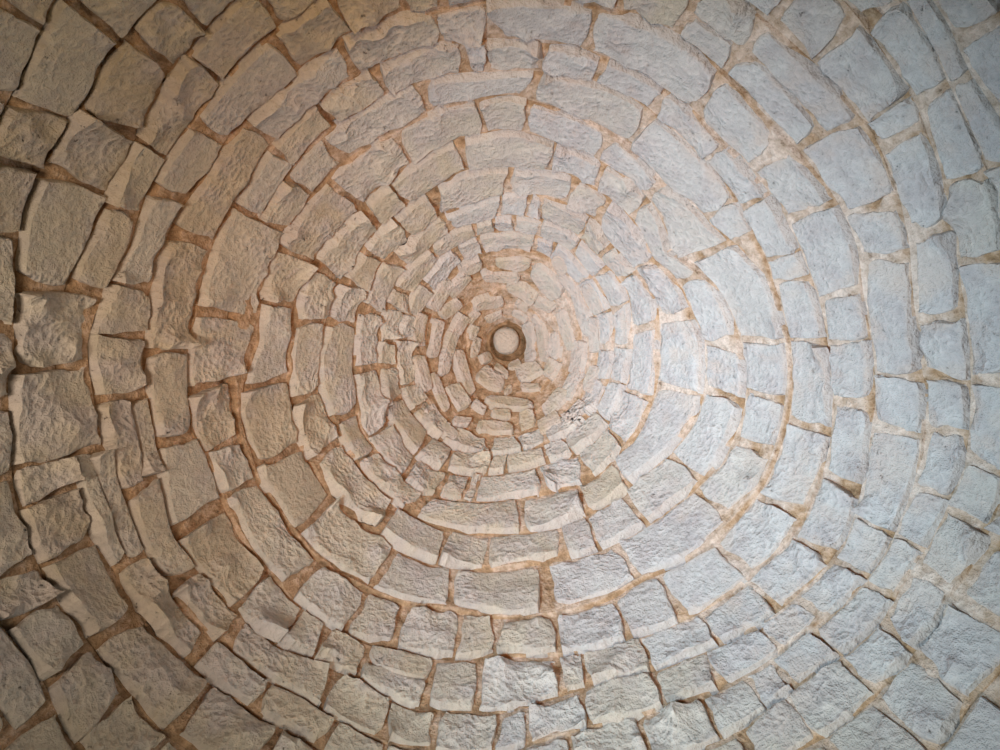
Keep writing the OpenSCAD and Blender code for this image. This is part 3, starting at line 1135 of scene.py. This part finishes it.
def build_vault():
    settings = bpy.context.scene.trullo_vault
    vault = Vault(settings)
    # Depths of the rings behind a stone's face, and the lines of its grid along and up
    rings = (0.02, 0.06)
    grids = {
        "plain": {"long": (8, 5), "short": (6, 5), "thin": (8, 3)},
        "fine": {"long": (22, 14), "short": (14, 13), "thin": (19, 8)},
        "far": {"long": (17, 10), "short": (12, 9), "thin": (15, 7)},
    }
    masters = {
        grade: {size: block_master(columns, rows, rings) for size, (columns, rows) in sizes.items()}
        for grade, sizes in grids.items()
    }
    tall = []
    for k in range(vault.count):
        if vault.beds[k + 1] < vault.SEEN_FROM:
            grade = "plain"
        elif vault.beds[k] < vault.FAR_FROM:
            grade = "fine"
        else:
            grade = "far"
        blocks, tall = lay_course(vault, settings, masters[grade], k, tall)
        stones = joined("%s_stones" % vault.names[k], blocks, [material_of("stone")])
        settle(stones, "limestone", vault.names[k])
        settle(mortar_ring(vault, settings, k, grade != "plain"), "rubble", vault.names[k])


def build_keystone():
    """The closing stone: a worn round boss in a dished ring of mortar, which is painted dark as shadow."""
    settings = bpy.context.scene.trullo_vault
    low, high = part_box("keystone")
    radii, heights = rings_of("keystone")
    crown_r = radii[heights < low.z + 0.001].min()
    pick_none()
    bpy.ops.mesh.primitive_uv_sphere_add(segments=64, ring_count=32, radius=1)
    piece = bpy.context.object
    piece.name = piece.data.name = "closing_stone"
    spots = np.array([v.co for v in piece.data.vertices])
    wide = np.maximum(np.hypot(spots[:, 0], spots[:, 1]), 1e-6)
    boss = crown_r * 0.74
    spots[:, :2] *= (boss * wide ** 0.45 / wide)[:, None]
    spots[:, 2] = 0.05 * np.sign(spots[:, 2]) * np.abs(spots[:, 2]) ** 0.8
    # A little off the axis, as the photograph shows it
    spots = spots + (-0.012, -0.012, low.z + 0.048)
    bumps = 0.006 * lattice_noise(spots, 0.09, settings.seed)
    bumps = bumps + 0.0015 * lattice_noise(spots, 0.03, settings.seed)
    spots[:, :2] *= (1 + bumps / boss)[:, None]
    spots[:, 2] += 0.6 * bumps
    piece.data.vertices.foreach_set("co", spots.astype(np.float32).reshape(-1))
    for value, level in (("tone", 0.85), ("smear", 0.6), ("rough", 0.2), ("stain", 0.3)):
        layer = piece.data.attributes.new(value, "FLOAT", "POINT")
        layer.data.foreach_set("value", np.full(len(spots), level, np.float32))
    grain = piece.data.attributes.new("grain", "FLOAT_VECTOR", "POINT")
    grain.data.foreach_set("vector", spots.astype(np.float32).reshape(-1))
    piece.data.materials.append(material_of("stone"))
    pick(piece)
    bpy.ops.object.shade_smooth()
    settle(piece, "limestone")
    pick_none()
    bpy.ops.mesh.primitive_cylinder_add(
        vertices=96, radius=high.x, depth=high.z - low.z, location=(0, 0, (low.z + high.z) / 2)
    )
    bed = bpy.context.object
    bed.name = bed.data.name = "closing_mortar"
    bpy.ops.object.transform_apply(location=True, rotation=True, scale=True)
    bpy.ops.object.mode_set(mode="EDIT")
    bpy.ops.mesh.select_all(action="DESELECT")
    bpy.ops.object.mode_set(mode="OBJECT")
    for face in bed.data.polygons:
        face.select = abs(face.center.z - low.z) < 0.001
    bpy.ops.object.mode_set(mode="EDIT")
    for step in (high.x - crown_r, 0.015, 0.015, 0.015, 0.02, 0.02):
        bpy.ops.mesh.inset(thickness=step)
    bpy.ops.object.mode_set(mode="OBJECT")
    spots = np.array([v.co for v in bed.data.vertices])
    wide = np.hypot(spots[:, 0], spots[:, 1])
    dished = (spots[:, 2] < low.z + 0.001) & (wide < crown_r - 0.005)
    sag = 0.012 + 0.045 * np.clip((crown_r - wide) / 0.03, 0, 1)
    spots[:, 2] += np.where(dished, sag + 0.006 * lattice_noise(spots, 0.04, settings.seed + 3), 0)
    bed.data.vertices.foreach_set("co", spots.astype(np.float32).reshape(-1))
    bed.data.materials.append(material_of("mortar"))
    # Painted shadow: the dished ring round the boss takes the darkest painted shade
    deep = bed.data.attributes.new("deep", "FLOAT", "POINT")
    deep.data.foreach_set("value", np.full(len(spots), 1.7, np.float32))
    bpy.ops.object.shade_smooth_by_angle(angle=0.9)
    settle(bed, "rubble", "keystone")


# Roof


# Length of a slab from its edge to its tail, in the roof and at the eaves
SLAB_TAIL = 0.17
EAVES_TAIL = 0.26


def slab_rows(node):
    """Low and high level and edge radius of each slab row in a CAD band."""
    radii, heights = rings_of(node)
    levels = []
    for z in sorted(heights):
        if not levels or z - levels[-1] > 0.001:
            levels.append(z)
    rows = []
    for s in range(0, len(levels) - 2, 2):
        edge = radii[np.abs(heights - levels[s + 1]) < 0.001].max()
        rows.append((levels[s], levels[s + 2], edge))
    return rows


def shaped_slab(settings, master, row, span, seed, tail):
    """One roof slab: a broken outer edge, a top that falls outwards and a rough underside."""
    rng = random.Random(seed)
    corners, faces = master
    u, v, depth = corners[:, 0], corners[:, 1], -corners[:, 2] * tail
    low, high, edge = row
    thick = high - low
    gap = settings.slab_gap * rng.uniform(0.3, 1.6) / edge
    first, last = span[0] + gap / 2, span[1] - gap / 2
    bearing = (first + last) / 2 + u * (last - first) / 2 * (1 - 0.03 * v * v)
    bearing = bearing + rng.gauss(0, 0.02) * depth / edge
    thin = rng.uniform(0.0, 0.10) * thick
    height = low + thick / 2 + v * (thick / 2 - thin / 2) - thin / 2
    height = height + 0.002
    spots = np.stack([edge * np.cos(bearing), edge * np.sin(bearing), height], axis=1) + rng.uniform(0, 50)
    proud = rng.gauss(0, 0.6) * settings.unevenness + rng.gauss(0, 0.03) * u * (last - first) * edge / 2
    broken = 0.8 * lattice_noise(spots, 0.11, seed) + 0.5 * lattice_noise(spots, 0.04, seed + 1)
    worn = 0.006 * (np.abs(u) > 0.99) + 0.008 * (np.abs(v) > 0.99) * (1 + 0.6 * (v > 0))
    stray = (proud + settings.unevenness * broken) * np.exp(-depth / 0.06)
    out = edge - depth + stray - worn * (depth == 0)
    droop = -0.012 * np.exp(-depth / 0.05) * (v > 0.5) * 0.6
    wave = 0.004 * lattice_noise(spots, 0.13, seed + 2)
    height = np.clip(height + droop + wave * np.where(v > 0.5, 1, 0.6), low - 0.003, high + 0.012)
    placed = np.stack([out * np.cos(bearing), out * np.sin(bearing), height], axis=1)
    rim = np.clip((depth == 0) * (0.3 + 0.7 * lattice_noise(spots, 0.08, seed + 3)), 0, 1)
    return {
        "corners": placed,
        "faces": faces,
        "rim": rim,
        "tone": np.full(len(placed), rng.random()),
    }


def lay_slabs(settings, master, row, length, seed, tail):
    rng = random.Random(seed)
    count = max(7, round(TURN * row[2] / length))
    steps = [math.exp(rng.gauss(0, 0.28)) for _ in range(count)]
    scale = TURN / sum(steps)
    start = rng.uniform(0, TURN)
    blocks = []
    for i, step in enumerate(steps):
        span = (start, start + step * scale)
        blocks.append(shaped_slab(settings, master, row, span, seed * 100 + i, tail))
        start = span[1]
    return blocks


def build_roof():
    settings = bpy.context.scene.trullo_roof
    master = block_master(5, 2, (1.0,))
    bands = sorted(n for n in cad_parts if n.startswith("roof_band_"))
    for b, node in enumerate(bands):
        blocks = []
        for s, row in enumerate(slab_rows(node)):
            seed = settings.seed * 100 + b * 10 + s
            blocks += lay_slabs(settings, master, row, settings.slab_length, seed, SLAB_TAIL)
        slabs = joined("%s_slabs" % node, blocks, [material_of("slab")], 0.6)
        settle(slabs, "roof_slabs", node)


def build_eaves():
    """Thick slabs that stand out past the roof's foot."""
    settings = bpy.context.scene.trullo_roof
    low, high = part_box("eaves_course")
    master = block_master(7, 4, (0.25, 1.0))
    row = (low.z, high.z, high.x - 0.010)
    blocks = lay_slabs(settings, master, row, settings.slab_length * 1.5, settings.seed, EAVES_TAIL)
    for block in blocks:
        spots = block["corners"]
        spots[:, 2] = np.maximum(spots[:, 2], low.z)
        reach = np.hypot(spots[:, 0], spots[:, 1])
        spots[:, :2] *= np.minimum(1, (high.x - 0.002) / reach)[:, None]
    slabs = joined("eaves_slabs", blocks, [material_of("slab")], 0.6)
    settle(slabs, "roof_slabs", "eaves_course")


def finish_turned(piece, bevel, seed, uneven=0.003):
    """Rounds the arrises of a turned stone and makes its surface uneven, as laid on by hand."""
    pick(piece)
    bpy.ops.object.transform_apply(location=True, rotation=True, scale=True)
    if bevel:
        soften = piece.modifiers.new("soften", "BEVEL")
        soften.width = bevel
        soften.segments = 3
        soften.limit_method = "ANGLE"
        bpy.ops.object.modifier_apply(modifier="soften")
    spots = np.array([v.co for v in piece.data.vertices])
    shift = uneven * lattice_noise(spots, 0.12, seed) + 0.4 * uneven * lattice_noise(spots, 0.04, seed + 1)
    spots[:, :2] *= (1 + shift / 0.15)[:, None]
    piece.data.vertices.foreach_set("co", spots.astype(np.float32).reshape(-1))
    piece.data.materials.append(material_of("limewash"))
    bpy.ops.object.shade_smooth_by_angle(angle=0.8)


def turned_profile(name, points, steps=96):
    """A closed solid turned round the dome's axis from points of radius and height."""
    pick_none()
    bpy.ops.mesh.primitive_circle_add(vertices=steps, radius=points[0][0], location=(0, 0, points[0][1]),
                                      fill_type="NGON")
    piece = bpy.context.object
    piece.name = piece.data.name = name
    bpy.ops.object.transform_apply(location=True, rotation=True, scale=True)
    bpy.ops.object.mode_set(mode="EDIT")
    bpy.ops.mesh.select_all(action="SELECT")
    last_r, last_z = points[0]
    for radius, height in points[1:]:
        bpy.ops.mesh.extrude_region_move(TRANSFORM_OT_translate={"value": (0, 0, height - last_z)})
        if abs(radius - last_r) > 1e-6:
            factor = radius / last_r
            bpy.ops.transform.resize(value=(factor, factor, 1), center_override=(0, 0, height))
        last_r, last_z = radius, height
    bpy.ops.mesh.select_all(action="SELECT")
    bpy.ops.mesh.normals_make_consistent(inside=False)
    bpy.ops.object.mode_set(mode="OBJECT")
    return piece


def build_pinnacle():
    settings = bpy.context.scene.trullo_roof
    bevels = {"pinnacle_seat": 0.012, "pinnacle_block": 0.012, "pinnacle_disc": 0.0, "pinnacle_ball": 0.0}
    for n, (node, bevel) in enumerate(bevels.items()):
        radii, heights = rings_of(node)
        levels = sorted(set(np.round(heights, 4)))
        points = []
        for z in levels:
            widest = radii[np.abs(heights - z) < 0.0002].max()
            if not points or z - points[-1][1] > 0.004:
                points.append((max(widest, 0.004), z))
        if node == "pinnacle_seat":
            points = [(radii.max(), heights.min()), (radii.max(), levels[1]), (points[-1][0], heights.max())]
        piece = turned_profile("%s_coat" % node, points)
        finish_turned(piece, bevel, settings.seed + n)
        settle(piece, "limewash", node)


# Stage


def add_lamp(name, power, colour, spot, aim, size=None):
    """A lamp that the camera doesn't see: an area of a width, length and spread, or else a sun."""
    data = bpy.data.lights.new(name, "AREA" if size else "SUN")
    data.energy = power
    data.color = colour
    if size:
        data.shape = "RECTANGLE"
        data.size, data.size_y, data.spread = size
    else:
        data.angle = 0.35
    lamp = bpy.data.objects.new(name, data)
    lamp.visible_camera = False
    bpy.context.scene.collection.objects.link(lamp)
    lamp.location = spot
    lamp.rotation_euler = (Vector(aim) - Vector(spot)).to_track_quat("-Z", "Y").to_euler()
    return lamp


def build_stage():
    scene = bpy.context.scene
    settings = scene.trullo_stage
    scene.view_settings.view_transform = "Standard"
    # Inside the closed dome more bounces add much time and little light
    scene.cycles.diffuse_bounces = 1
    pick_none()
    bpy.ops.mesh.primitive_plane_add(size=120, location=(0, 0, -0.002))
    ground = bpy.context.object
    ground.name = ground.data.name = "ground"
    material, made = open_material("plain_floor")
    close_material(made, rgba(settings.floor_colour), 0.9)
    ground.data.materials.append(material)
    camera_data = bpy.data.cameras.new("view")
    camera_data.lens = settings.lens
    camera_data.sensor_width = SENSOR
    camera_data.clip_start = 0.01
    camera_data.clip_end = 200
    camera = bpy.data.objects.new("view", camera_data)
    scene.collection.objects.link(camera)
    # Straight up, with the picture's top towards -Y, shifted to put the crown off its centre
    camera.location = (0, settings.camera_side, settings.camera_height)
    camera.rotation_euler = (math.pi, 0, 0)
    centre_px = (PHOTO_WIDTH / 2, 375)
    crown_px = (508, 343)
    low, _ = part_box("keystone")
    drop = settings.camera_side / (low.z - settings.camera_height) * settings.lens / SENSOR
    camera_data.shift_x = (centre_px[0] - crown_px[0]) / PHOTO_WIDTH
    camera_data.shift_y = (crown_px[1] - centre_px[1]) / PHOTO_WIDTH + drop
    scene.camera = camera
    world = bpy.data.worlds.new("studio")
    world.use_nodes = True
    world.node_tree.nodes.clear()
    made = Shader(world.node_tree)
    seen = made.add("ShaderNodeLightPath", out=0)
    strength = made.span(seen, 0.0, 1.0, 0.55, 1.0)
    sky = made.add("ShaderNodeBackground", {"Color": (0.92, 0.94, 0.97, 1), "Strength": strength})
    made.add("ShaderNodeOutputWorld", {"Surface": sky})
    # Inside the dome, light samples that aim at the sky are wasted
    world.cycles.sampling_method = "NONE"
    scene.world = world
    # Each lamp's place, the spot that it aims at, and its width, length and spread
    places = {
        "day": ((-1.0, 0.3, 0.1), (0.8, 0.1, 2.9), (0.4, 0.6, 1.3)),
        "rake": ((-1.6, 0.05, 0.08), (-1.2, 0.0, 3.0), (0.3, 1.1, 1.4)),
        "side": ((-0.3, -1.45, 0.06), (-0.5, -1.2, 3.0), (1.4, 0.3, 1.7)),
        "back": ((0.25, 1.35, 0.06), (0.2, 1.1, 3.0), (1.4, 0.4, 1.8)),
        "crown": ((0.0, 0.0, 0.03), (0.1, 0.0, 3.9), (0.8, 0.8, 1.3)),
    }
    for name, place in places.items():
        power = getattr(settings, "%s_power" % name)
        colour = getattr(settings, "%s_colour" % name)
        add_lamp(name, power, colour, *place)
    add_lamp("studio_sun", 2.2, (1.0, 0.97, 0.93), (4, -5, 8), (0, 0, 2))


# Operators


class TRULLO_OT_vault(bpy.types.Operator):
    """Lay the stones and mortar of the vault, course by course"""

    bl_idname = "trullo.vault"
    bl_label = "Lay vault"

    def execute(self, context):
        build_vault()
        return {"FINISHED"}


class TRULLO_OT_keystone(bpy.types.Operator):
    """Close the crown with its round stone"""

    bl_idname = "trullo.keystone"
    bl_label = "Close crown"

    def execute(self, context):
        build_keystone()
        return {"FINISHED"}


class TRULLO_OT_rubble(bpy.types.Operator):
    """Finish the packing between vault and roof"""

    bl_idname = "trullo.rubble"
    bl_label = "Finish rubble"

    def execute(self, context):
        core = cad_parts["rubble_core"]
        core.data.materials.clear()
        core.data.materials.append(material_of("rubble"))
        return {"FINISHED"}


class TRULLO_OT_roof(bpy.types.Operator):
    """Lay the rows of roof slabs"""

    bl_idname = "trullo.roof"
    bl_label = "Lay roof slabs"

    def execute(self, context):
        build_roof()
        return {"FINISHED"}


class TRULLO_OT_eaves(bpy.types.Operator):
    """Lay the thick eaves slabs"""

    bl_idname = "trullo.eaves"
    bl_label = "Lay eaves"

    def execute(self, context):
        build_eaves()
        return {"FINISHED"}


class TRULLO_OT_pinnacle(bpy.types.Operator):
    """Set and limewash the pinnacle"""

    bl_idname = "trullo.pinnacle"
    bl_label = "Set pinnacle"

    def execute(self, context):
        build_pinnacle()
        return {"FINISHED"}


class TRULLO_OT_stage(bpy.types.Operator):
    """Set the floor, lamps and camera"""

    bl_idname = "trullo.stage"
    bl_label = "Set stage"

    def execute(self, context):
        build_stage()
        return {"FINISHED"}


class TRULLO_PT_panel(bpy.types.Panel):
    bl_label = "Trullo dome"
    bl_idname = "TRULLO_PT_panel"
    bl_space_type = "VIEW_3D"
    bl_region_type = "UI"
    bl_category = "Trullo"

    def draw(self, context):
        for group in (context.scene.trullo_vault, context.scene.trullo_roof, context.scene.trullo_stage):
            for name in group.__annotations__:
                self.layout.prop(group, name)
        for operator in OPERATORS:
            self.layout.operator(operator.bl_idname)


OPERATORS = (
    TRULLO_OT_stage,
    TRULLO_OT_vault,
    TRULLO_OT_keystone,
    TRULLO_OT_rubble,
    TRULLO_OT_roof,
    TRULLO_OT_eaves,
    TRULLO_OT_pinnacle,
)
CLASSES = (VaultSettings, RoofSettings, StageSettings) + OPERATORS + (TRULLO_PT_panel,)


def register():
    for cls in CLASSES:
        bpy.utils.register_class(cls)
    bpy.types.Scene.trullo_vault = bpy.props.PointerProperty(type=VaultSettings)
    bpy.types.Scene.trullo_roof = bpy.props.PointerProperty(type=RoofSettings)
    bpy.types.Scene.trullo_stage = bpy.props.PointerProperty(type=StageSettings)


def unregister():
    del bpy.types.Scene.trullo_vault
    del bpy.types.Scene.trullo_roof
    del bpy.types.Scene.trullo_stage
    for cls in reversed(CLASSES):
        bpy.utils.unregister_class(cls)


def main():
    register()
    bpy.ops.trullo.stage()
    bpy.ops.trullo.vault()
    bpy.ops.trullo.keystone()
    bpy.ops.trullo.rubble()
    bpy.ops.trullo.roof()
    bpy.ops.trullo.eaves()
    bpy.ops.trullo.pinnacle()


if __name__ == "__main__":
    main()
